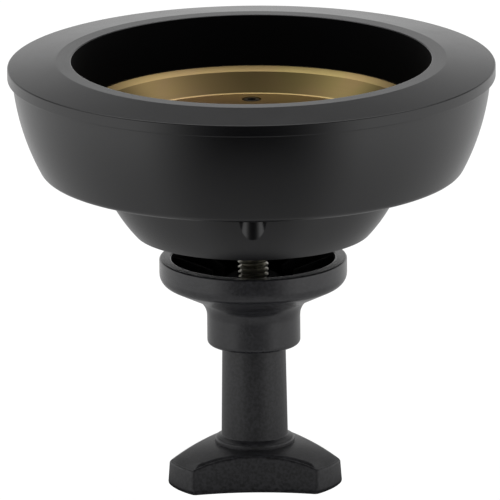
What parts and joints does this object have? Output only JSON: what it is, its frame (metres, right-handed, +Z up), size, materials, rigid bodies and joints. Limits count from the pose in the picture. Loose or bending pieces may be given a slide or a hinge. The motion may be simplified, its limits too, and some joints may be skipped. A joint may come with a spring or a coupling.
{
  "type": "half ball adapter",
  "caption": "Large half ball ring on a smaller half ball, with a threaded tie-down: swivelling clamp cup and three-lobe handle on a fixed stud.",
  "frame": {"origin": "on the adapter's axis, in the plane of the knob's flat base, which is the lowest face", "axes": "+Z up along the stud towards the lip of the ring; +X and +Y across, with one lobe of the handle towards +Y at rest"},
  "size_m": [0.1526, 0.1526, 0.136],
  "materials": {
    "black_anodised": "turned aluminium, satin black anodised",
    "gold_chromate": "turned aluminium, yellow chromate conversion coat",
    "black_moulding": "glass-filled nylon moulding, fine satin texture",
    "zinc_steel": "zinc-plated steel",
    "black_steel": "black oxide steel",
    "brass": "machined brass",
    "nylon": "natural nylon",
    "bronze": "sintered bronze"
  },
  "bodies": {
    "half_ball": {"half_ball_ring": "black_anodised", "lower_half_ball": "black_anodised", "seat_dish": "gold_chromate", "ball_screw_1": "black_steel", "ball_screw_2": "black_steel", "ball_screw_3": "black_steel", "dish_screw_1": "black_steel", "dish_screw_2": "black_steel", "dish_screw_3": "black_steel", "clamp_stud": "zinc_steel", "stud_washer": "zinc_steel", "stud_nut": "zinc_steel", "stud_stop_ring": "black_steel"},
    "thrust_washers": {"lower_thrust_washer": "nylon", "upper_thrust_washer": "zinc_steel"},
    "cup": {"clamp_cup": "black_moulding", "cup_bush": "bronze"},
    "handle": {"tie_down_handle": "black_moulding", "threaded_insert": "brass", "handle_plug": "black_moulding", "neck_circlip": "black_steel"}
  },
  "joints": [
    {"name": "handle_travel", "type": "slide", "parent": "half_ball", "child": "thrust_washers", "axis": [0, 0, 1], "range_m": [-0.0136, 0.008]},
    {"name": "handle_turn", "type": "hinge", "parent": "thrust_washers", "child": "handle", "pos_m": [0, 0, 0.0275], "axis": [0, 0, 1], "range_deg": [-3083, 1813]},
    {"name": "cup_swivel", "type": "hinge", "parent": "thrust_washers", "child": "cup", "pos_m": [0, 0, 0.0443], "axis": [0, 0, 1], "continuous": true}
  ],
  "couplings": [
    {"joint": "handle_travel", "follows": "handle_turn", "m_per_rad": 0.00025266}
  ]
}
